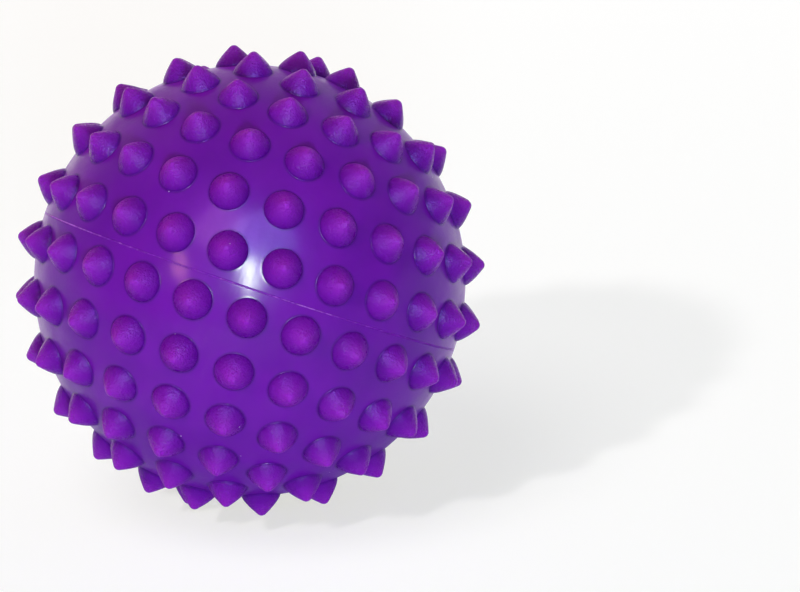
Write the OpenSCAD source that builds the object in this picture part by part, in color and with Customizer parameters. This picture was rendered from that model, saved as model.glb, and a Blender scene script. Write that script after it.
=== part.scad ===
// Spiky sensory ball: two moulded half shells joined at a welded seam, with a plugged air valve.
// Each piece is drawn about the ball's centre, with the seam in the XY plane.
// The finished ball is then turned the way it comes to rest, on three spike tips at z = 0.

/* [Ball] */
// Diameter of the smooth surface between the spikes
ball_d = 90; // [75:1:150]
// Thickness of the moulded wall
wall = 2.5; // [1.8:0.1:4]

/* [Spikes] */
// Number of spikes in the ring on each side of the seam
seam_ring_spikes = 24; // [16:1:26]
// Diameter of a spike where it leaves the ball
spike_d = 8.2; // [5:0.1:9.4]
// Height of a spike above the ball
spike_h = 4.2; // [2.5:0.1:7]
// Radius of a spike's rounded tip
spike_tip_r = 1.2; // [0.3:0.05:1.8]
// Depth to which a spike's root is drawn into the wall
spike_root = 1.2; // [0.6:0.1:1.5]

/* [Seam] */
// Height of the lip on the upper half that locates it in the lower half
lip_h = 1.6; // [1:0.1:3]
// Thickness of that lip
lip_t = 1.2; // [0.8:0.1:1.4]
// Width of the weld bead where it shows along the seam
bead_w = 0.35; // [0.3:0.05:1]
// Depth of the groove that the weld bead fills
bead_depth = 0.5; // [0.3:0.05:0.7]
// Height of the weld bead above the ball
bead_stand = 0.12; // [0.05:0.01:0.3]

/* [Valve] */
// Diameter of the valve seat where it shows in the ball's surface
seat_d = 9; // [8.4:0.1:10]
// Diameter of the seat's flange inside the ball
flange_d = 14; // [12:0.1:18]
// Thickness of that flange at its rim
flange_t = 1.4; // [1:0.1:3]
// Diameter of the seat's tail round the plug's stem
tail_d = 7; // [6:0.1:8]
// Diameter of the plug's head
head_d = 6.4; // [5.4:0.1:6.8]
// Thickness of the plug's head
head_t = 1.4; // [1:0.1:2]
// Diameter of the plug's stem
stem_d = 3.8; // [3:0.1:4.4]
// Length of the plug's stem under its head
stem_l = 9; // [6:0.1:12]
// Radius of the notch in which a fingernail lifts the plug
notch_r = 0.9; // [0.6:0.05:1.1]

/* [Fits] */
// Clearance on the radius between the plug's stem and its bore
stem_clearance = 0.05; // [0.02:0.01:0.1]
// Clearance round and under the plug's head
head_clearance = 0.1; // [0.05:0.01:0.15]
// Clearance left for adhesive between two bonded pieces
bond_clearance = 0.04; // [0.02:0.01:0.1]

/* [Hidden] */
$fn = 120;

// Extra length of every cut past the surface that it leaves by
overrun = 1;

ball_r = ball_d / 2;
inner_r = ball_r - wall;

// Turn of each ring of spikes about the seam's axis, from the seam to the pole, in shares of the
// angle between two spikes of that ring.
upper_turn_shares = [0.47, 0.17, 0.25, -0.30, -0.24, -0.42];
lower_turn_shares = [0.16, 0.24, 0.36, 0.48, -0.19, 0.32];
ring_total = len(upper_turn_shares);

// A half goes by its name, "upper" or "lower".
function side(half) = half == "upper" ? 1 : -1;
function turn_shares(half) = half == "upper" ? upper_turn_shares : lower_turn_shares;
function ring_lat(half, ring) = side(half) * (ring + 0.5) * 90 / ring_total;
function ring_spikes(half, ring) = round(seam_ring_spikes * cos(ring_lat(half, ring)));
function spike_lon(half, ring, place) = (place + turn_shares(half)[ring]) * 360 / ring_spikes(half, ring);
function direction(lat, lon) = [cos(lat) * cos(lon), cos(lat) * sin(lon), sin(lat)];
function spike_direction(half, ring, place) = direction(ring_lat(half, ring), spike_lon(half, ring, place));

// The valve takes the place of one spike of the upper half, on the side away from the front. The
// spike is given by its ring and place.
valve_spike = [2, 9];
valve_lat = ring_lat("upper", valve_spike[0]);
valve_lon = spike_lon("upper", valve_spike[0], valve_spike[1]);

// The outer sphere's own poles point between spikes, where no spike's edge runs close to them.
sphere_lat = 60;
sphere_lon = 320;

// A spike's outline in radius and height above the ball: it leaves the ball at its base, bends in at
// its shoulder, and runs straight from there to its rounded tip, which it meets at a tangent.
spike_r = spike_d / 2;
base_z = sqrt(pow(ball_r, 2) - pow(spike_r, 2)) - ball_r;
shoulder_r_share = 0.82;
shoulder_z_share = 0.29;
shoulder = [spike_r * shoulder_r_share, spike_h * shoulder_z_share];
root_z = base_z - spike_root;
root_r = spike_r + spike_root * (spike_r - shoulder[0]) / (shoulder[1] - base_z);
tip_z = spike_h - spike_tip_r;
tip_angle = atan2(shoulder[1] - tip_z, shoulder[0]) + acos(spike_tip_r / norm(shoulder - [0, tip_z]));
tip_edge = [spike_tip_r * cos(tip_angle), tip_z + spike_tip_r * sin(tip_angle)];

// The lip fills the inner part of the wall.
lip_r = inner_r + lip_t;
lip_root = wall / 2;

// The weld bead: its groove is a wedge, and its crown bulges out of the ball.
bead_half_w = bead_w / 2;
bead_root_r = ball_r - bead_depth;
groove_half_w = bead_half_w * (bead_depth + overrun) / bead_depth;
crown_angles = [-90:30:90];

// Heights along the valve's axis, from the ball's centre
head_z = ball_r - head_t;
stem_end_z = head_z - stem_l;
stem_r = stem_d / 2;
stem_chamfer_share = 0.3;
stem_chamfer = stem_r * stem_chamfer_share;
bore_r = stem_r + stem_clearance;
head_r = head_d / 2;
recess_r = head_r + head_clearance;
recess_z = head_z - head_clearance;
flange_z = sqrt(pow(inner_r, 2) - pow(flange_d / 2, 2)) - flange_t;
hole_d = seat_d + 2 * bond_clearance;

// The three spikes of the lower half that the ball rests on, each by its ring and place
rest_spikes = [[4, 3], [4, 4], [3, 5]];
rest_directions = [for (spike = rest_spikes) spike_direction("lower", spike[0], spike[1])];
rest_normal = cross(rest_directions[1] - rest_directions[0], rest_directions[2] - rest_directions[0]);
rest_down = rest_normal * sign(rest_normal * rest_directions[0]) / norm(rest_normal);
rest_axis = cross(rest_down, [0, 0, -1]) / norm(cross(rest_down, [0, 0, -1]));
rest_angle = acos(rest_down * [0, 0, -1]);

function laid_down(v) =
    v * cos(rest_angle) + cross(rest_axis, v) * sin(rest_angle)
    + rest_axis * (rest_axis * v) * (1 - cos(rest_angle));

// The front, where longitude is zero, is turned to face along -Y.
front = laid_down([1, 0, 0]);
front_turn = -90 - atan2(front[1], front[0]);

// The lowest spike tip touches z = 0.
spike_directions = [
    for (half = ["upper", "lower"])
    for (ring = [0:ring_total - 1])
    for (place = [0:ring_spikes(half, ring) - 1])
    spike_direction(half, ring, place)
];
rest_height = (ball_r + tip_z) * max([for (v = spike_directions) v * rest_down]) + spike_tip_r;

module as_it_lies()
    translate([0, 0, rest_height])
    rotate([0, 0, front_turn])
    rotate(a = rest_angle, v = rest_axis)
    children();

// Points what is drawn along +Z in the direction of one latitude and longitude.
module pointing(lat, lon)
    rotate([0, 90 - lat, lon])
    children();

module spike()
    rotate_extrude()
    union() {
        polygon([[0, root_z], [root_r, root_z], shoulder, tip_edge, [0, tip_edge[1]]]);
        intersection() {
            translate([0, tip_z])
                circle(spike_tip_r);
            translate([0, tip_edge[1]])
                square(spike_tip_r);
        }
    }

module spikes(half)
    for (ring = [0:ring_total - 1], place = [0:ring_spikes(half, ring) - 1])
        if (half == "lower" || [ring, place] != valve_spike)
            pointing(ring_lat(half, ring), spike_lon(half, ring, place))
            translate([0, 0, ball_r])
            spike();

// One half of the plain wall, with its edge bevelled for the weld bead
module half_wall(half)
    difference() {
        pointing(sphere_lat, sphere_lon)
            sphere(ball_r);
        sphere(inner_r);
        translate([0, 0, half == "upper" ? -ball_r - overrun : 0])
            cylinder(h = ball_r + overrun, r = ball_r + overrun);
        rotate_extrude()
            polygon([
                [bead_root_r, 0],
                [ball_r + overrun, -groove_half_w],
                [ball_r + overrun, groove_half_w]
            ]);
    }

module lip()
    difference() {
        translate([0, 0, -lip_h])
            cylinder(h = lip_h + lip_root, r = lip_r);
        translate([0, 0, -lip_h - overrun])
            cylinder(h = lip_h + lip_root + 2 * overrun, r = inner_r);
    }

module upper_shell()
    color("#6a1cb4")
    as_it_lies()
    difference() {
        union() {
            half_wall("upper");
            lip();
            spikes("upper");
        }
        pointing(valve_lat, valve_lon)
            cylinder(h = ball_r + overrun, d = hole_d);
    }

module lower_shell()
    color("#6a1cb4")
    as_it_lies()
    union() {
        difference() {
            half_wall("lower");
            translate([0, 0, -lip_h - bond_clearance])
                cylinder(h = lip_h + bond_clearance + overrun, r = lip_r + bond_clearance);
        }
        spikes("lower");
    }

module seam_weld()
    color("#a878dc")
    as_it_lies()
    rotate_extrude()
    polygon(concat(
        [[bead_root_r, 0]],
        [for (angle = crown_angles) [ball_r + bead_stand * cos(angle), bead_half_w * sin(angle)]]
    ));

// The seat's neck ends flush with the ball, and its flange lies against the inside of the wall.
module valve_seat()
    color("#55179a")
    as_it_lies()
    pointing(valve_lat, valve_lon)
    difference() {
        union() {
            intersection() {
                sphere(ball_r);
                translate([0, 0, flange_z])
                    cylinder(h = ball_r, d = seat_d);
            }
            intersection() {
                sphere(inner_r - bond_clearance);
                translate([0, 0, flange_z])
                    cylinder(h = ball_r, d = flange_d);
            }
            translate([0, 0, stem_end_z])
                cylinder(h = inner_r - stem_end_z, d = tail_d);
        }
        translate([0, 0, stem_end_z - overrun])
            cylinder(h = ball_r, r = bore_r);
        translate([0, 0, recess_z])
            cylinder(h = ball_r, r = recess_r);
        translate([recess_r, 0, ball_r])
            sphere(notch_r);
    }

module valve_plug()
    color("#8f5fd0")
    as_it_lies()
    pointing(valve_lat, valve_lon)
    intersection() {
        sphere(ball_r);
        rotate_extrude()
            polygon([
                [0, stem_end_z],
                [stem_r - stem_chamfer, stem_end_z],
                [stem_r, stem_end_z + stem_chamfer],
                [stem_r, head_z],
                [head_r, head_z],
                [head_r, ball_r],
                [0, ball_r + overrun]
            ]);
    }

upper_shell();
lower_shell();
seam_weld();
valve_seat();
valve_plug();
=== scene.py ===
# Spiky sensory ball: two moulded half shells, the weld along their seam, and a plugged air valve.
# Lengths are in metres. Every piece is drawn about the ball's centre with the seam in the XY plane,
# and is then turned the way the ball lies on the floor.
import math

import bmesh
import bpy
import numpy as np
from mathutils import Matrix, Vector, geometry, noise


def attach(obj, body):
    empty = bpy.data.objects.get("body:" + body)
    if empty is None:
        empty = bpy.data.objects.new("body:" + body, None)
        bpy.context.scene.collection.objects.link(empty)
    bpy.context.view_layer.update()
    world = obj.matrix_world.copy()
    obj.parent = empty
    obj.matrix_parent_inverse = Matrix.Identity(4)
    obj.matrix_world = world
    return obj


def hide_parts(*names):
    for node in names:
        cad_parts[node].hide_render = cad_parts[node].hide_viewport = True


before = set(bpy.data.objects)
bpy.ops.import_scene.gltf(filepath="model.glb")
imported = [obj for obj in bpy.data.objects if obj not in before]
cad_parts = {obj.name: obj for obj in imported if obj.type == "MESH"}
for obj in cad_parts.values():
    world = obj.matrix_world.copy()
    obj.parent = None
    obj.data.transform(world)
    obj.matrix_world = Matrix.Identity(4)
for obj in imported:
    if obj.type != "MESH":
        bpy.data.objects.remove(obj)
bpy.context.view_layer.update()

MM = 0.001
TINY = 1e-9
TURN = 2 * math.pi

# Sizes of the ball, as in its solid model
BALL_R = 45 * MM
INNER_R = BALL_R - 2.5 * MM
SPIKE_R = 4.1 * MM
SPIKE_H = 4.2 * MM
SPIKE_TIP_R = 1.2 * MM
LIP_H = 1.6 * MM
LIP_R = INNER_R + 1.2 * MM
BEAD_W = 0.35 * MM
BEAD_DEPTH = 0.5 * MM
BEAD_STAND = 0.12 * MM
BOND = 0.04 * MM

# Spikes: six rings on each side of the seam, each ring turned by a share of its own spacing
UPPER, LOWER = 1, -1
TURN_SHARES = {
    UPPER: (0.47, 0.17, 0.25, -0.30, -0.24, -0.42),
    LOWER: (0.16, 0.24, 0.36, 0.48, -0.19, 0.32),
}
RINGS = 6
SEAM_RING_SPIKES = 24
VALVE_SPOT = (UPPER, 2, 9)
REST_SPOTS = ((LOWER, 4, 3), (LOWER, 4, 4), (LOWER, 3, 5))

# Valve, with heights along its axis from the ball's centre
SEAT_R = 4.5 * MM
FLANGE_R = 7 * MM
FLANGE_T = 1.4 * MM
TAIL_R = 3.5 * MM
HEAD_R = 3.2 * MM
HEAD_T = 1.4 * MM
STEM_R = 1.9 * MM
STEM_L = 9 * MM
NOTCH_R = 0.9 * MM
STEM_CLEARANCE = 0.05 * MM
HEAD_CLEARANCE = 0.1 * MM
HEAD_Z = BALL_R - HEAD_T
STEM_END_Z = HEAD_Z - STEM_L
HOLE_R = SEAT_R + BOND
SEAT_EDGE = 0.12 * MM

# The photograph: its size, and the ball's place, size and turn in it
PHOTO_W, PHOTO_H = 800, 592
BALL_PX = Vector((249.9, 280.4))
BALL_R_PX = 215.7
CAMERA_DISTANCE = 34 * BALL_R
SEAM_ROLL = math.radians(18.55)
SEAM_LEAN = math.radians(2.0)
SENSOR_MM = 36


def direction(lat, lon):
    return Vector((math.cos(lat) * math.cos(lon), math.cos(lat) * math.sin(lon), math.sin(lat)))


def ring_layout(side, ring):
    """Latitude of one ring of spikes, and how many spikes it has."""
    lat = side * (ring + 0.5) * math.pi / 2 / RINGS
    return lat, round(SEAM_RING_SPIKES * math.cos(lat))


def spot_direction(side, ring, place):
    """Where one spike points, by its half, its ring from the seam and its place in the ring."""
    lat, count = ring_layout(side, ring)
    return direction(lat, (place + TURN_SHARES[side][ring]) * TURN / count)


def spots(side):
    """Ring and place of every spike in one half, the valve's place included."""
    for ring in range(RINGS):
        _, count = ring_layout(side, ring)
        for place in range(count):
            yield side, ring, place


def lying_turn():
    """The turn that sets the three resting spikes level on the floor, with the front along -Y."""
    a, b, c = (spot_direction(*spot) for spot in REST_SPOTS)
    down = (b - a).cross(c - a).normalized()
    if down.dot(a) < 0:
        down.negate()
    level = down.rotation_difference(Vector((0, 0, -1))).to_matrix()
    front = level @ Vector((1, 0, 0))
    ahead = Matrix.Rotation(-math.pi / 2 - math.atan2(front.y, front.x), 3, "Z")
    reach = max(spot_direction(*spot).dot(down) for side in (UPPER, LOWER) for spot in spots(side))
    height = (BALL_R + SPIKE_H - SPIKE_TIP_R) * reach + SPIKE_TIP_R
    return Matrix.Translation((0, 0, height)) @ (ahead @ level).to_4x4()


LIE = lying_turn()
CENTRE = LIE.translation
VALVE_AXIS = spot_direction(*VALVE_SPOT)


# Drawing meshes

class Surface:
    """The points and faces of one piece while it is drawn.

    Each face has a finish. Each point says how far it stands out, from -1 in a crease to 1 at a tip.
    """

    def __init__(self):
        self.points = []
        self.faces = []
        self.finishes = []
        self.stands = []

    def ring(self, points, stands=0.0):
        first = len(self.points)
        self.points.extend(Vector(p) for p in points)
        self.stands.extend(stands if isinstance(stands, list) else [stands] * len(points))
        return list(range(first, len(self.points)))

    def face(self, corners, finish=0):
        self.faces.append(tuple(corners))
        self.finishes.append(finish)

    def band(self, ring, following, finish=0):
        """Four-sided faces between two rings, or triangles where the second is a single point."""
        for i in range(len(ring)):
            j = (i + 1) % len(ring)
            if len(following) == 1:
                self.face((ring[i], ring[j], following[0]), finish)
            else:
                self.face((ring[i], ring[j], following[j], following[i]), finish)

    def bands(self, rings, finish=0):
        for ring, following in zip(rings, rings[1:]):
            self.band(ring, following, finish)

    def piece(self, name, body, node, slot, materials):
        """Closes the drawing into an object that stands for one node of the solid model."""
        mesh = bpy.data.meshes.new(name)
        mesh.from_pydata([LIE @ p for p in self.points], [], self.faces)
        for material in materials:
            mesh.materials.append(material)
        mesh.polygons.foreach_set("material_index", self.finishes)
        mesh.attributes.new("stand", "FLOAT", "POINT").data.foreach_set("value", self.stands)
        drawn = bmesh.new()
        drawn.from_mesh(mesh)
        bmesh.ops.recalc_face_normals(drawn, faces=drawn.faces)
        drawn.to_mesh(mesh)
        drawn.free()
        mesh.shade_smooth()
        piece = bpy.data.objects.new(name, mesh)
        bpy.context.scene.collection.objects.link(piece)
        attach(piece, body)
        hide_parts(node)
        return piece


def circle(radius, height, count, axes=None):
    """Points of a circle about an axis, at a height along it; the axes are across, up and along."""
    across, up, along = axes or (Vector((1, 0, 0)), Vector((0, 1, 0)), Vector((0, 0, 1)))
    turns = (TURN * i / count for i in range(count))
    return [along * height + (across * math.cos(t) + up * math.sin(t)) * radius for t in turns]


def axes_along(axis):
    across = Vector((0, 0, 1)).cross(axis).normalized()
    return across, axis.cross(across), axis


def bezier(start, control, end, shares):
    """Points of a curve that leaves its start and reaches its end along lines to one control point."""
    return [start * (1 - t) ** 2 + control * 2 * t * (1 - t) + end * t * t for t in shares]


def rounded(corners, arc_steps=4):
    """An outline of radius, height and corner rounding, with each rounded corner as an arc."""
    points = []
    for i, (r, z, rounding) in enumerate(corners):
        corner = Vector((r, z))
        if not rounding:
            points.append(corner)
            continue
        before, after = (Vector(corners[k][:2]) - corner for k in (i - 1, (i + 1) % len(corners)))
        start = corner + before.normalized() * rounding
        end = corner + after.normalized() * rounding
        points.extend(bezier(start, corner, end, [k / arc_steps for k in range(arc_steps + 1)]))
    return points


def on_sphere(radius, r):
    return math.sqrt(radius ** 2 - r ** 2)


# Half shells

APRON_R = SPIKE_R + 0.6 * MM
FILLET = 0.1 * MM
BASE_SLOPE = 5.0
TIP_SLOPE = 0.9
SPIKE_SIDES = 36
HOLE_SIDES = 96
RIM_SIDES = 480
NET_SPACING = 1.2 * MM
LINING_SPACING = 3.5 * MM
SMOOTH, MATT = 0, 1


def spike_outline():
    """Radius and height above the ball of a spike's rings: apron, fillet, flank and rounded tip."""
    base = Vector((SPIKE_R, on_sphere(BALL_R, SPIKE_R) - BALL_R))
    tip_turn = math.atan(TIP_SLOPE)
    tip_z = SPIKE_H - SPIKE_TIP_R
    flank_end = Vector((math.sin(tip_turn), math.cos(tip_turn))) * SPIKE_TIP_R + Vector((0, tip_z))
    rise = base.y - flank_end.y
    control_r = (rise + BASE_SLOPE * base.x - TIP_SLOPE * flank_end.x) / (BASE_SLOPE - TIP_SLOPE)
    control = Vector((control_r, base.y + BASE_SLOPE * (base.x - control_r)))
    first_share = FILLET / (2 * (control - base).length)
    flank_steps = 9
    flank = bezier(base, control, flank_end, np.linspace(first_share, 1, flank_steps))
    foot = Vector((SPIKE_R + FILLET, on_sphere(BALL_R, SPIKE_R + FILLET) - BALL_R))
    fillet = bezier(foot, base, flank[0], (0, 0.3, 0.6))
    apron = [Vector((APRON_R, on_sphere(BALL_R, APRON_R) - BALL_R)), *fillet]
    tip_shares = (0.66, 0.33)
    tip = [Vector((math.sin(tip_turn * s), math.cos(tip_turn * s))) * SPIKE_TIP_R + Vector((0, tip_z))
           for s in tip_shares]
    return apron, flank + tip


def add_spike(surface, axis, apron, outline):
    """One spike from its apron ring to its tip. Returns the apron ring."""
    axes = axes_along(axis)
    stands = [0.0] + [-1.0] * len(apron) + [max(p.y, 0) / SPIKE_H for p in outline[1:]]
    rings = [surface.ring(circle(p.x, BALL_R + p.y, SPIKE_SIDES, axes), stand)
             for p, stand in zip(apron + outline, stands)]
    rings.append(surface.ring([axis * (BALL_R + SPIKE_H)], 1.0))
    surface.bands(rings[:len(apron) + 1], SMOOTH)
    surface.bands(rings[len(apron):], MATT)
    return rings[0]


def add_hole(surface):
    """The hole for the valve. Returns its ring on the outside of the wall and its ring inside."""
    axes = axes_along(VALVE_AXIS)
    outline = rounded([
        (APRON_R, on_sphere(BALL_R, APRON_R), 0),
        (HOLE_R, on_sphere(BALL_R, HOLE_R), SEAT_EDGE),
        (HOLE_R, on_sphere(INNER_R, HOLE_R), 0),
    ])
    rings = [surface.ring(circle(p.x, p.y, HOLE_SIDES, axes)) for p in outline]
    surface.bands(rings, SMOOTH)
    return rings[0], rings[-1]


def scattered(side, radius, spacing, lowest, holes):
    """Evenly spread points on one half of a sphere, clear of its edge and of round holes in it."""
    count = int(4 * math.pi * radius ** 2 / (spacing ** 2 * math.sqrt(3) / 2))
    step = np.arange(count) + 0.5
    z = 1 - 2 * step / count
    lon = step * math.pi * (3 - math.sqrt(5))
    flat = np.sqrt(1 - z ** 2)
    points = np.stack([flat * np.cos(lon), flat * np.sin(lon), z], axis=1)
    keep = side * points[:, 2] * radius > lowest + spacing / 2
    for axis, hole_r in holes:
        keep &= points @ np.array(axis) < math.cos(math.asin(hole_r / radius) + spacing / 2 / radius)
    return points[keep] * radius


def add_net(surface, side, radius, rim, rings, holes, spacing):
    """Triangles over one half of a sphere, between its rim ring and the rings round its holes."""
    lowest = abs(surface.points[rim[0]].z)
    fill = surface.ring(scattered(side, radius, spacing, lowest, holes).tolist())
    order = rim + [i for ring in rings for i in ring] + fill
    flat = []
    for i in order:
        p = surface.points[i] / radius
        flat.append(p.xy / (1 + side * p.z))
    edges, owner = [], {}
    start = 0
    for number, ring in enumerate([rim] + rings):
        edges += [(start + k, start + (k + 1) % len(ring)) for k in range(len(ring))]
        owner.update((start + k, number) for k in range(len(ring)))
        start += len(ring)
    _, _, faces, sources, _, _ = geometry.delaunay_2d_cdt(flat, edges, [], 0, TINY)
    for face in faces:
        corners = [sources[k][0] for k in face]
        owners = {owner.get(k, -1) for k in corners}
        if len(owners) == 1 and owners.isdisjoint({-1, 0}):
            continue
        surface.face([order[k] for k in corners], SMOOTH)


def half_shell(side, name, node, materials):
    surface = Surface()
    apron, outline = spike_outline()
    rings, holes, lining_rings, lining_holes = [], [], [], []
    for spot in spots(side):
        axis = spot_direction(*spot)
        if spot == VALVE_SPOT:
            outer, inner = add_hole(surface)
            rings.append(outer)
            lining_rings.append(inner)
            lining_holes.append((axis, HOLE_R))
        else:
            rings.append(add_spike(surface, axis, apron, outline))
        holes.append((axis, APRON_R))
    edge = 0.03 * MM
    groove = [
        (on_sphere(BALL_R, BEAD_W), BEAD_W, 0),
        (on_sphere(BALL_R, BEAD_W / 2), BEAD_W / 2, edge),
        (BALL_R - BEAD_DEPTH, 0, 0),
    ]
    joint = {
        UPPER: [(LIP_R, 0, 0), (LIP_R, -LIP_H, 0), (INNER_R, -LIP_H, 0), (INNER_R, 0, 0)],
        LOWER: [(LIP_R + BOND, 0, 0), (LIP_R + BOND, LIP_H + BOND, 0),
                (on_sphere(INNER_R, LIP_H + BOND), LIP_H + BOND, 0)],
    }[side]
    rim = [surface.ring(circle(p.x, side * p.y, RIM_SIDES)) for p in rounded(groove + joint)]
    surface.bands(rim, SMOOTH)
    add_net(surface, side, BALL_R, rim[0], rings, holes, NET_SPACING)
    add_net(surface, side, INNER_R, rim[-1], lining_rings, lining_holes, LINING_SPACING)
    return surface.piece(name, "ball", node, "shell", materials)


# Weld bead along the seam

BEAD_SIDES = 1600
BEAD_CROWN_STEPS = 6
# Depth below the ball's surface from which the crown rises
BEAD_SINK = 0.06 * MM
# Where the flash is thicker or thinner: place and reach in degrees along the seam, and by how much
FLASH_SPOTS = ((-62, 16, 0.35), (16, 8, 0.35), (70, 22, -0.3))
# How closely three waves of unevenness follow one another round the seam
SLOW_WAVE, QUICK_WAVE, FINE_WAVE = 25, 60, 220
# In shares of the bead's width: half of the plain thread, and what spots and waves add to it
THREAD_HALF_W, SPOT_WIDENING, QUICK_WIDENING = 0.26, 0.12, 0.10
SLOW_WANDER, FINE_WANDER = 0.08, 0.04
# In shares of the bead's height
THREAD_STAND, LEAST_STAND, QUICK_RISE, FINE_RISE = 0.38, 0.05, 0.35, 0.3


def seam_bead(materials):
    """A thread of weld flash that fills the groove, thicker at some spots and wandering a little."""
    surface = Surface()
    rows = [[] for _ in range(BEAD_CROWN_STEPS + 2)]
    stands = []
    for i in range(BEAD_SIDES):
        turn = TURN * i / BEAD_SIDES
        out = Vector((math.cos(turn), math.sin(turn), 0))
        degrees = math.degrees(math.remainder(turn, TURN))
        thick = sum(t * math.exp(-((degrees - place) / reach) ** 2) for place, reach, t in FLASH_SPOTS)
        slow = noise.noise(out * SLOW_WAVE + Vector((4, 4, 8)))
        quick = noise.noise(out * QUICK_WAVE + Vector((7, 3, 1)))
        fine = noise.noise(out * FINE_WAVE + Vector((2, 9, 5)))
        half_w = BEAD_W * (THREAD_HALF_W + SPOT_WIDENING * thick + QUICK_WIDENING * quick)
        stand = min(1.0, max(LEAST_STAND, THREAD_STAND + thick + QUICK_RISE * quick + FINE_RISE * fine))
        stands.append(stand)
        shift = BEAD_W * (SLOW_WANDER * slow + FINE_WANDER * fine)
        rows[0].append(out * (BALL_R - BEAD_DEPTH))
        for k in range(BEAD_CROWN_STEPS + 1):
            lean = math.pi * (k / BEAD_CROWN_STEPS - 0.5)
            crown_r = BALL_R - BEAD_SINK + (BEAD_STAND * stand + BEAD_SINK) * math.cos(lean)
            rows[k + 1].append(out * crown_r + Vector((0, 0, shift + half_w * math.sin(lean))))
    rings = [surface.ring(row, stands) for row in rows]
    surface.bands(rings + rings[:1])
    return surface.piece("seam_bead", "ball", "seam_weld", "weld", materials)


# Valve

VALVE_SIDES = 192
# Heights above the floor of the seat's recess at which its wall has points for the notch
NOTCH_ROWS = (1.0 * MM, 0.6 * MM)


def lathe(surface, outline, axis, sides=VALVE_SIDES):
    """Turns an outline of radius and height about an axis. Points on the axis close the ends."""
    axes = axes_along(axis)
    rings = [surface.ring(circle(p.x, p.y, sides, axes) if p.x > TINY else [axis * p.y]) for p in outline]
    for ring, following in zip(rings, rings[1:]):
        if len(ring) == 1:
            surface.band(following, ring)
        else:
            surface.band(ring, following)
    return rings


def dome(radius, start_r, end_r, steps):
    """Points that follow a sphere from one distance to its axis to another."""
    return [Vector((r, on_sphere(radius, r))) for r in np.linspace(start_r, end_r, steps)]


def valve_seat(materials):
    """A soft bush: a neck flush with the ball, a flange inside the wall and a tail round the stem."""
    recess_r = HEAD_R + HEAD_CLEARANCE
    recess_z = HEAD_Z - HEAD_CLEARANCE
    bore_r = STEM_R + STEM_CLEARANCE
    flange_top_r = INNER_R - BOND
    flange_z = on_sphere(INNER_R, FLANGE_R) - FLANGE_T
    edge = SEAT_EDGE
    face = dome(BALL_R, SEAT_R - edge, recess_r + edge, 9)
    well = rounded([
        (recess_r + edge, face[-1].y, 0),
        (recess_r, on_sphere(BALL_R, recess_r), edge),
        *((recess_r, recess_z + height, 0) for height in NOTCH_ROWS),
        (recess_r, recess_z, edge),
        (bore_r, recess_z, edge),
        (bore_r, STEM_END_Z, edge),
        (TAIL_R, STEM_END_Z, 2 * edge),
        (TAIL_R, flange_z, 0),
        (FLANGE_R, flange_z, edge),
        (FLANGE_R, on_sphere(flange_top_r, FLANGE_R), edge),
        (SEAT_R, on_sphere(flange_top_r, SEAT_R), 0),
        (SEAT_R, on_sphere(BALL_R, SEAT_R), edge),
        (SEAT_R - edge, face[0].y, 0),
    ])[1:-1]
    surface = Surface()
    rings = lathe(surface, face + well, VALVE_AXIS)
    surface.band(rings[-1], rings[0])
    press_notch(surface, axes_along(VALVE_AXIS)[0] * recess_r + VALVE_AXIS * BALL_R)
    return surface.piece("valve_bush", "ball", "valve_seat", "valve", materials)


def press_notch(surface, middle):
    """Presses a round dip into the seat, where a fingernail gets under the plug's head."""
    for p in surface.points:
        offset = p - middle
        height = offset.dot(VALVE_AXIS)
        flat = (offset - VALVE_AXIS * height).length
        if flat < NOTCH_R and height > -NOTCH_R:
            floor = -math.sqrt(NOTCH_R ** 2 - flat ** 2)
            p += VALVE_AXIS * min(0, floor - height)


def valve_plug(materials):
    """A stopper: a head that follows the ball's round, and a stem with a tapered end."""
    edge = 0.25 * MM
    chamfer = STEM_R * 0.3
    head = dome(BALL_R, 0, HEAD_R - edge, 8)
    rest = rounded([
        (HEAD_R - edge, head[-1].y, 0),
        (HEAD_R, on_sphere(BALL_R, HEAD_R), edge),
        (HEAD_R, HEAD_Z, edge / 2),
        (STEM_R, HEAD_Z, edge / 2),
        (STEM_R, STEM_END_Z + chamfer, edge / 2),
        (STEM_R - chamfer, STEM_END_Z, edge / 2),
        (0, STEM_END_Z, 0),
    ])[1:]
    surface = Surface()
    lathe(surface, head + rest, VALVE_AXIS)
    return surface.piece("valve_stopper", "plug", "valve_plug", "plug", materials)


# Node building

def add_node(tree, kind, inputs=None, **settings):
    """Adds a node. Each input is a value, or another node's output to link."""
    made = tree.nodes.new(kind)
    for name, value in settings.items():
        setattr(made, name, value)
    for name, value in (inputs or {}).items():
        if isinstance(value, bpy.types.NodeSocket):
            tree.links.new(value, made.inputs[name])
        else:
            made.inputs[name].default_value = value
    return made


def sums(tree, operation, a, b=0.0, c=0.0, clamp=False):
    inputs = {0: a, 1: b, 2: c}
    return add_node(tree, "ShaderNodeMath", inputs, operation=operation, use_clamp=clamp).outputs[0]


def mixed(tree, share, a, b):
    """The colour between two colours."""
    return add_node(tree, "ShaderNodeMix", {0: share, 6: a, 7: b}, data_type="RGBA").outputs[2]


def stretched(tree, value, low, high, out_low=0.0, out_high=1.0):
    """A value mapped smoothly from one range to another."""
    inputs = {0: value, 1: low, 2: high, 3: out_low, 4: out_high}
    return add_node(tree, "ShaderNodeMapRange", inputs, interpolation_type="SMOOTHSTEP").outputs[0]


def new_group(name, inputs, outputs):
    """An empty shader group. Inputs are name: (socket kind, value), outputs are name: socket kind."""
    group = bpy.data.node_groups.new(name, "ShaderNodeTree")
    for label, (kind, value) in inputs.items():
        group.interface.new_socket(label, in_out="INPUT", socket_type=kind).default_value = value
    for label, kind in outputs.items():
        group.interface.new_socket(label, in_out="OUTPUT", socket_type=kind)
    return group, group.nodes.new("NodeGroupInput").outputs, group.nodes.new("NodeGroupOutput").inputs


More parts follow.
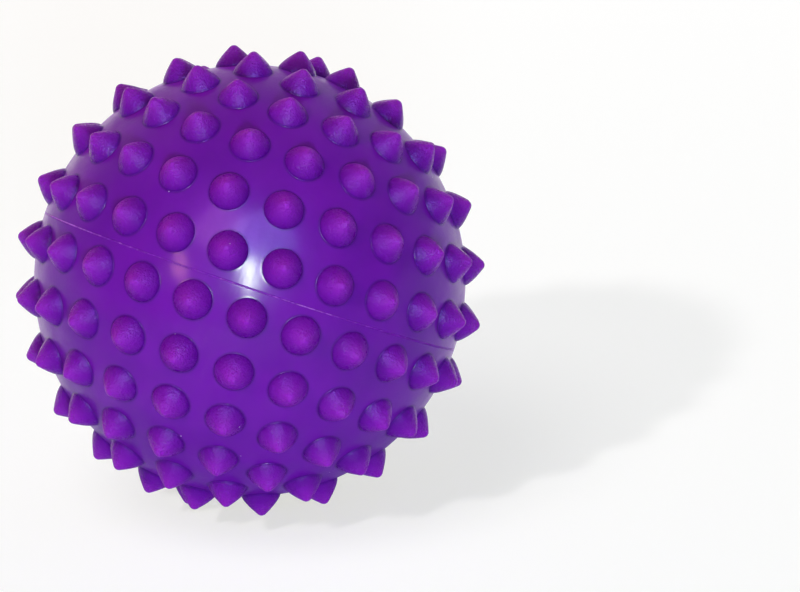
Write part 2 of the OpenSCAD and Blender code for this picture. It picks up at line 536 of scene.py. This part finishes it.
def surface_noise(tree, size, detail=2.0, roughness=0.5, shift=(0, 0, 0)):
    """Noise over the object whose features are about one size in metres."""
    place = add_node(tree, "ShaderNodeTexCoord").outputs["Object"]
    moved = add_node(tree, "ShaderNodeVectorMath", {0: place, 1: shift}, operation="ADD").outputs[0]
    inputs = {
        "Vector": moved,
        "Scale": sums(tree, "DIVIDE", 1.0, size),
        "Detail": detail,
        "Roughness": roughness,
    }
    return add_node(tree, "ShaderNodeTexNoise", inputs).outputs[0]


FLOAT, COLOUR = "NodeSocketFloat", "NodeSocketColor"


def pigment_group():
    """Colour that drifts a little between two tones, as pigment does in a moulding."""
    inputs = {
        "Deep": (COLOUR, (0, 0, 0, 1)),
        "Pale": (COLOUR, (1, 1, 1, 1)),
        "Cloud size": (FLOAT, 12 * MM),
    }
    group, given, put = new_group("Pigment drift", inputs, {"Colour": COLOUR})
    cloud = surface_noise(group, given["Cloud size"], detail=3.0)
    share = stretched(group, cloud, 0.3, 0.7)
    group.links.new(mixed(group, share, given["Deep"], given["Pale"]), put["Colour"])
    return group


def grain_group():
    """The fine skin that a mould leaves: a height for bump, and an unevenness for gloss."""
    inputs = {"Grain size": (FLOAT, 0.3 * MM), "Wave size": (FLOAT, 5 * MM), "Grain share": (FLOAT, 0.5)}
    group, given, put = new_group("Mould skin", inputs, {"Height": FLOAT, "Unevenness": FLOAT})
    grain = surface_noise(group, given["Grain size"], detail=2.0, roughness=0.6)
    wave = surface_noise(group, given["Wave size"], detail=1.0, shift=(0.3, 0.1, 0.2))
    kept_wave = sums(group, "MULTIPLY", wave, sums(group, "SUBTRACT", 1.0, given["Grain share"]))
    height = sums(group, "MULTIPLY_ADD", grain, given["Grain share"], kept_wave)
    group.links.new(height, put["Height"])
    group.links.new(stretched(group, sums(group, "MULTIPLY", grain, wave), 0.12, 0.4), put["Unevenness"])
    return group


def dust_group():
    """Sparse pale specks of lint and dust, as a mask."""
    inputs = {"Spacing": (FLOAT, 3 * MM), "Speck share": (FLOAT, 0.05), "Rarity": (FLOAT, 0.8)}
    group, given, put = new_group("Dust specks", inputs, {"Mask": FLOAT})
    place = add_node(group, "ShaderNodeTexCoord").outputs["Object"]
    scale = sums(group, "DIVIDE", 1.0, given["Spacing"])
    cells = add_node(group, "ShaderNodeTexVoronoi", {"Vector": place, "Scale": scale})
    near = sums(group, "LESS_THAN", cells.outputs["Distance"], given["Speck share"])
    chance = add_node(group, "ShaderNodeSeparateColor", {0: cells.outputs["Color"]}).outputs[0]
    rare = sums(group, "GREATER_THAN", chance, given["Rarity"])
    group.links.new(sums(group, "MULTIPLY", near, rare), put["Mask"])
    return group


def handling_group():
    """Soft patches where hands have dulled or polished the skin, as a mask."""
    inputs = {"Patch size": (FLOAT, 14 * MM)}
    group, given, put = new_group("Handling marks", inputs, {"Mask": FLOAT})
    broad = surface_noise(group, given["Patch size"], detail=4.0, roughness=0.65, shift=(0.05, 0.4, 0.15))
    group.links.new(stretched(group, broad, 0.42, 0.62), put["Mask"])
    return group


SCRATCH_TURN = (0.0, math.radians(22), 0.0)


def scratch_group():
    """Fine scratches, all running much the same way, as a mask."""
    inputs = {"Spacing": (FLOAT, 0.4 * MM), "Slimness": (FLOAT, 20.0)}
    group, given, put = new_group("Hairline scratches", inputs, {"Mask": FLOAT})
    place = add_node(group, "ShaderNodeTexCoord").outputs["Object"]
    slim = {0: 1.0, 1: given["Slimness"], 2: given["Slimness"]}
    drawn_out = {
        "Vector": place,
        "Rotation": SCRATCH_TURN,
        "Scale": add_node(group, "ShaderNodeCombineXYZ", slim).outputs[0],
    }
    streaks = {
        "Vector": add_node(group, "ShaderNodeMapping", drawn_out, vector_type="TEXTURE").outputs[0],
        "Scale": sums(group, "DIVIDE", 1.0, given["Spacing"]),
        "Detail": 3.0,
    }
    lines = add_node(group, "ShaderNodeTexNoise", streaks).outputs[0]
    group.links.new(stretched(group, lines, 0.42, 0.62), put["Mask"])
    return group


GROUPS = {
    "pigment": pigment_group(),
    "skin": grain_group(),
    "dust": dust_group(),
    "handling": handling_group(),
    "scratches": scratch_group(),
}


def placed(tree, name, **values):
    """Places one of the shared groups. Its inputs are given in lower case, with underscores."""
    made = add_node(tree, "ShaderNodeGroup", node_tree=GROUPS[name])
    for label, value in values.items():
        made.inputs[label.replace("_", " ").capitalize()].default_value = value
    return made.outputs


def new_material(name):
    """A node material. Returns it with its tree and its shader."""
    material = bpy.data.materials.new(name)
    material.use_nodes = True
    tree = material.node_tree
    return material, tree, tree.nodes["Principled BSDF"]


def set_shader(tree, shader, links, **values):
    for label, value in values.items():
        shader.inputs[label.replace("_", " ")].default_value = value
    for label, socket in links.items():
        tree.links.new(socket, shader.inputs[label])


DUST_COLOUR = (0.62, 0.55, 0.70, 1)
DUST_DULLING = 0.3
DUST_HEIGHT = 0.5
SCRATCH_DULLING = 0.66
# Range of stand over which a tip shows its lighter colour, on the spikes partly rubbed wear and partly a
# painted highlight, and over which its grain comes up
TIP_TONE_RANGE = (0.3, 1.0)
GRAINY_RANGE = (0.2, 0.9)
GRAIN_LOW_DOWN = 0.5


def moulded(name, deep, pale, rough, skin, bump, dust_rarity=0.8, tip=None, cloud=12 * MM, crease=None,
            coat=None, **shader_values):
    """Moulded soft plastic: drifting pigment, mould skin, dulled patches and a little dust.

    Roughness is given as its lowest and highest value and what dulled patches add. A tip colour is for
    pieces that are rougher, and lighter in that colour, where they stand out; on the spikes it is partly
    rubbed wear and partly a painted highlight. A crease, a colour with the range of stand over which it
    fades, is
    painted shade: pieces are darker in their inner corners and, on the spikes, toward their base. A coat
    gives the weights of a clear gloss where the skin is fresh and where it is dull, and scratches dull it
    further.
    """
    material, tree, shader = new_material(name)
    colour = placed(tree, "pigment", deep=deep, pale=pale, cloud_size=cloud)["Colour"]
    dust = placed(tree, "dust", rarity=dust_rarity)["Mask"]
    texture = placed(tree, "skin", **skin)
    marks = placed(tree, "handling")["Mask"]
    low, high, marked = rough
    gloss = stretched(tree, texture["Unevenness"], 0.0, 1.0, low, high)
    gloss = sums(tree, "MULTIPLY_ADD", marks, marked, gloss)
    gloss = sums(tree, "MULTIPLY_ADD", dust, DUST_DULLING, gloss, clamp=True)
    raised = texture["Height"]
    links = {"Roughness": gloss}
    if tip or crease:
        stand = add_node(tree, "ShaderNodeAttribute", attribute_name="stand").outputs["Fac"]
    # Lighter tip colour where the piece stands out: on the spikes partly rubbed wear, partly a painted
    # highlight
    if tip:
        colour = mixed(tree, stretched(tree, stand, *TIP_TONE_RANGE), colour, tip)
        grainy = stretched(tree, stand, *GRAINY_RANGE, GRAIN_LOW_DOWN, 1.0)
        raised = sums(tree, "MULTIPLY", raised, grainy)
    # Painted shade: the crease colour darkens inner corners and the low parts of spikes
    if crease:
        painted_shade_colour, lowest, highest = crease
        colour = mixed(tree, stretched(tree, stand, lowest, highest), painted_shade_colour, colour)
    if coat:
        kept = stretched(tree, placed(tree, "scratches")["Mask"], 0.0, 1.0, 1.0, SCRATCH_DULLING)
        links["Coat Weight"] = sums(tree, "MULTIPLY", stretched(tree, marks, 0.0, 1.0, *coat), kept)
    raised = sums(tree, "MULTIPLY_ADD", dust, DUST_HEIGHT, raised)
    bumps = add_node(tree, "ShaderNodeBump", {"Height": raised, "Distance": bump, "Strength": 1.0})
    links["Base Color"] = mixed(tree, dust, colour, DUST_COLOUR)
    links["Normal"] = bumps.outputs[0]
    set_shader(tree, shader, links, **shader_values)
    return material


SOFT_RADIUS = (1.0, 0.15, 0.9)
# Painted shade for the fillet round each spike's base and for the lower part of each spike
CREASE_SHADE_COLOUR = (0.078, 0.0022, 0.22, 1)
COOL_TINT = (0.50, 0.55, 1.0, 1)


def shell_material():
    return moulded(
        "Glossy violet shell",
        deep=(0.111, 0.0025, 0.296, 1), pale=(0.136, 0.0040, 0.336, 1),
        rough=(0.33, 0.40, 0.05), bump=0.10 * MM, dust_rarity=0.93,
        skin={"grain_size": 0.8 * MM, "wave_size": 6 * MM, "grain_share": 0.3},
        # Painted shade along the fillet round each spike's base
        crease=(CREASE_SHADE_COLOUR, -1.0, 0.0), coat=(0.17, 0.135), Coat_Roughness=0.18,
        Specular_IOR_Level=0.045, Specular_Tint=COOL_TINT,
        Subsurface_Weight=0.25, Subsurface_Radius=SOFT_RADIUS, Subsurface_Scale=1.5 * MM,
    )


def spike_material():
    return moulded(
        "Matt violet spikes",
        deep=(0.132, 0.0048, 0.305, 1), pale=(0.162, 0.0068, 0.352, 1),
        rough=(0.24, 0.40, 0.05), bump=0.50 * MM, dust_rarity=0.97,
        skin={"grain_size": 0.5 * MM, "wave_size": 2 * MM, "grain_share": 0.8},
        # Tips lighter, partly rubbed wear and partly a painted highlight; painted shade toward each spike's
        # base
        tip=(0.235, 0.0135, 0.440, 1), crease=(CREASE_SHADE_COLOUR, -0.3, 0.5),
        Specular_IOR_Level=0.07, Specular_Tint=COOL_TINT,
        Subsurface_Weight=0.3, Subsurface_Radius=SOFT_RADIUS, Subsurface_Scale=1.5 * MM,
    )


def bead_material():
    return moulded(
        "Pale weld flash",
        deep=(0.17, 0.010, 0.40, 1), pale=(0.21, 0.020, 0.46, 1),
        rough=(0.22, 0.40, 0.05), bump=0.03 * MM, dust_rarity=0.9,
        skin={"grain_size": 0.2 * MM, "wave_size": 1.5 * MM, "grain_share": 0.5},
        tip=(0.48, 0.17, 0.70, 1), cloud=2 * MM, Specular_IOR_Level=0.06,
        Subsurface_Weight=0.2, Subsurface_Radius=SOFT_RADIUS, Subsurface_Scale=0.8 * MM,
    )


def bush_material():
    return moulded(
        "Satin valve bush",
        deep=(0.075, 0.003, 0.20, 1), pale=(0.10, 0.005, 0.25, 1),
        rough=(0.34, 0.46, 0.08), bump=0.03 * MM, dust_rarity=0.9,
        skin={"grain_size": 0.25 * MM, "wave_size": 2 * MM, "grain_share": 0.5},
        Specular_IOR_Level=0.45,
    )


def stopper_material():
    return moulded(
        "Milky valve stopper",
        deep=(0.26, 0.10, 0.46, 1), pale=(0.34, 0.16, 0.55, 1),
        rough=(0.30, 0.42, 0.08), bump=0.02 * MM, dust_rarity=0.9,
        skin={"grain_size": 0.25 * MM, "wave_size": 2 * MM, "grain_share": 0.5},
        Specular_IOR_Level=0.5,
        Subsurface_Weight=0.35, Subsurface_Radius=SOFT_RADIUS, Subsurface_Scale=1.5 * MM,
    )


# The pieces

shell_finishes = [shell_material(), spike_material()]
half_shell(UPPER, "upper_half", "upper_shell", shell_finishes)
half_shell(LOWER, "lower_half", "lower_shell", shell_finishes)
seam_bead([bead_material()])
valve_seat([bush_material()])
valve_plug([stopper_material()])


# Camera

def view_axes():
    """Right, up and toward the camera in the photograph, from the seam's turn in it."""
    turn = LIE.to_3x3()
    seam_axis, front = turn @ Vector((0, 0, 1)), turn @ Vector((1, 0, 0))
    toward = front * math.cos(SEAM_LEAN) + seam_axis * math.sin(SEAM_LEAN)
    seam_up = seam_axis * math.cos(SEAM_LEAN) - front * math.sin(SEAM_LEAN)
    seam_right = seam_up.cross(toward)
    right = seam_up * math.sin(SEAM_ROLL) + seam_right * math.cos(SEAM_ROLL)
    up = seam_up * math.cos(SEAM_ROLL) - seam_right * math.sin(SEAM_ROLL)
    return right, up, toward


RIGHT, UP, TOWARD = view_axes()


def seen_from(x, y, z):
    """A direction in the photograph's axes: right, up and toward the camera."""
    return (RIGHT * x + UP * y + TOWARD * z).normalized()


def aimed(obj, place, target, up):
    """Puts a camera or lamp at a place, looking at a target."""
    back = (place - target).normalized()
    across = up.cross(back).normalized()
    turn = Matrix((across, back.cross(across), back)).transposed()
    obj.matrix_world = Matrix.Translation(place) @ turn.to_4x4()
    bpy.context.scene.collection.objects.link(obj)
    return obj


def make_camera():
    focal_px = BALL_R_PX * math.sqrt(CAMERA_DISTANCE ** 2 - BALL_R ** 2) / BALL_R
    data = bpy.data.cameras.new("Photo camera")
    data.sensor_width = SENSOR_MM
    data.lens = focal_px * SENSOR_MM / PHOTO_W
    pixel = CAMERA_DISTANCE / focal_px
    off = Vector((PHOTO_W / 2, PHOTO_H / 2)) - BALL_PX
    target = CENTRE + RIGHT * off.x * pixel - UP * off.y * pixel
    camera = bpy.data.objects.new("Photo camera", data)
    bpy.context.scene.camera = aimed(camera, CENTRE + TOWARD * CAMERA_DISTANCE, target, UP)


# Stage and light

FLOOR_R = 4.0
FLOOR_SIDES = 96
FLOOR_COLOUR = (0.56, 0.675, 0.76, 1)
GLOW_COLOUR = (1.0, 0.959, 0.87, 1)
CONTACT_GLOW_COLOUR = (1.07, 1.09, 0.69, 1)
FLOOR_GLOW = 0.41
FLOOR_IN_GLOSS = 1.15
# How open the floor still is where a gloss sees it dark
DARK_IN_GLOSS = 0.45
# Where the floor is brightest in a gloss, how far that reaches, and how much is added there
SHEEN_PLACE = (-0.11, -0.38, 0.0)
SHEEN_REACH = 0.45
SHEEN = 2.0
# How much of the floor's glow is taken away close under the ball as a painted contact shadow, and how far
# that reaches
CONTACT_SHADE = 0.08
CONTACT_REACH = 250 * MM
WORLD_COLOUR = (1.0, 0.96, 0.94, 1)
WORLD_STRENGTH = 0.12
WORLD_IN_GLOSS = 0.95
KEY_COLOUR = (1.0, 0.80, 0.70)
# Distances of the lamps from the ball
NEAR, FAR = 2.0, 4.0


def make_floor():
    """A pale floor that keeps the shadow, and that a lens sees as white.

    Its glow is weaker close under the ball, as a painted contact shadow, and of a colour that cancels the
    ball's violet cast there. A gloss sees it dark under the ball, as painted shade, and brightest in front.
    """
    mesh = bpy.data.meshes.new("Floor")
    mesh.from_pydata(circle(FLOOR_R, 0, FLOOR_SIDES), [], [tuple(range(FLOOR_SIDES))])
    floor = bpy.data.objects.new("Floor", mesh)
    bpy.context.scene.collection.objects.link(floor)
    material = bpy.data.materials.new("Pale floor")
    material.use_nodes = True
    tree = material.node_tree
    tree.nodes.clear()
    ray = add_node(tree, "ShaderNodeLightPath").outputs
    clear = add_node(tree, "ShaderNodeAmbientOcclusion", {"Distance": CONTACT_REACH}).outputs["AO"]
    # Painted contact shadow: less glow where the ball hides the floor
    shaded = stretched(tree, clear, 0.0, 1.0, 1 - CONTACT_SHADE, 1.0)
    seen = sums(tree, "MAXIMUM", ray["Is Camera Ray"], ray["Is Transmission Ray"])
    strength = sums(tree, "MULTIPLY", sums(tree, "MULTIPLY", seen, shaded), FLOOR_GLOW)
    place = add_node(tree, "ShaderNodeTexCoord").outputs["Object"]
    away = add_node(tree, "ShaderNodeVectorMath", {0: place, 1: SHEEN_PLACE}, operation="DISTANCE")
    bright = stretched(tree, away.outputs["Value"], 0.0, SHEEN_REACH, 1 + SHEEN, 1.0)
    in_gloss = sums(tree, "MULTIPLY", ray["Is Glossy Ray"], stretched(tree, clear, DARK_IN_GLOSS, 1.0))
    in_gloss = sums(tree, "MULTIPLY", in_gloss, bright)
    strength = sums(tree, "MULTIPLY_ADD", in_gloss, FLOOR_IN_GLOSS, strength)
    tint = mixed(tree, clear, CONTACT_GLOW_COLOUR, GLOW_COLOUR)
    glow = add_node(tree, "ShaderNodeEmission", {"Color": tint, "Strength": strength})
    paint = add_node(tree, "ShaderNodeBsdfDiffuse", {"Color": FLOOR_COLOUR})
    both = add_node(tree, "ShaderNodeAddShader", {0: glow.outputs[0], 1: paint.outputs[0]})
    add_node(tree, "ShaderNodeOutputMaterial", {"Surface": both.outputs[0]})
    mesh.materials.append(material)


def make_world():
    """Weak even light, which a lens sees as a white backdrop and a gloss as a pale room."""
    world = bpy.data.worlds.new("Studio")
    world.use_nodes = True
    tree = world.node_tree
    ray = add_node(tree, "ShaderNodeLightPath").outputs
    clear = sums(tree, "MAXIMUM", ray["Is Camera Ray"], ray["Is Transmission Ray"])
    strength = sums(tree, "MULTIPLY_ADD", clear, 1 - WORLD_STRENGTH, WORLD_STRENGTH)
    strength = sums(tree, "MULTIPLY_ADD", ray["Is Glossy Ray"], WORLD_IN_GLOSS - WORLD_STRENGTH, strength)
    background = tree.nodes["Background"]
    background.inputs["Color"].default_value = WORLD_COLOUR
    tree.links.new(strength, background.inputs["Strength"])
    bpy.context.scene.world = world


def make_sun(name, to_light, strength, colour, softness):
    data = bpy.data.lights.new(name, "SUN")
    data.energy = strength
    data.color = colour
    data.angle = math.radians(softness)
    return aimed(bpy.data.objects.new(name, data), CENTRE + to_light.normalized(), CENTRE, Vector((0, 0, 1)))


def make_panel(name, to_light, distance, size, power, colour):
    """A soft oval lamp, its size given as width and height."""
    data = bpy.data.lights.new(name, "AREA")
    data.shape = "ELLIPSE"
    data.size, data.size_y = size
    data.energy = power
    data.color = colour
    panel = aimed(bpy.data.objects.new(name, data), CENTRE + to_light * distance, CENTRE, UP)
    panel.visible_camera = False
    return panel


def light_stage():
    """Two keys from the left, fill from the front, back and left rim, and lamps seen only in gloss."""
    make_world()
    key = make_sun("Key", Vector((-0.52, -0.62, 0.588)), 1.0, KEY_COLOUR, 4)
    high = make_sun("High key", Vector((-0.52, -0.62, 1.4)), 0.68, KEY_COLOUR, 30)
    to_back = Vector((0.55, 0.70, 0.45)).normalized()
    front = make_panel("Front fill", seen_from(0.06, -0.25, 1.0), NEAR, (0.36, 0.36), 28.5, (0.78, 0.90, 1.0))
    back = make_panel("Back fill", to_back, FAR, (2.4, 2.4), 80, (1.0, 1.0, 1.0))
    rim = make_panel("Rim fill", seen_from(-0.50, 0.55, -0.70), FAR, (1.6, 1.6), 120, (1.0, 0.66, 0.55))
    for lamp in (back, rim):
        lamp.data.use_shadow = False
    for lamp in (key, high, front, back, rim):
        lamp.visible_glossy = False
    white = make_panel("White gleam", seen_from(0.0, 0.045, 1.0), NEAR, (0.26, 0.66), 106, (0.85, 1.0, 0.78))
    blue = make_panel("Blue gleam", seen_from(0.12, 0.36, 1.0), NEAR, (1.2, 1.2), 78, (0.38, 0.54, 1.0))
    warm = make_panel("Warm gleam", seen_from(-0.60, 0.125, 0.79), NEAR, (0.12, 0.34), 19, (1.0, 0.34, 0.32))
    rose = make_panel("Rose gleam", seen_from(-0.30, 0.52, 1.0), NEAR, (0.9, 0.9), 30, (1.0, 0.42, 0.85))
    for lamp in (white, blue, warm, rose):
        lamp.visible_diffuse = False


make_floor()
light_stage()
make_camera()
bpy.context.scene.view_settings.view_transform = "Standard"
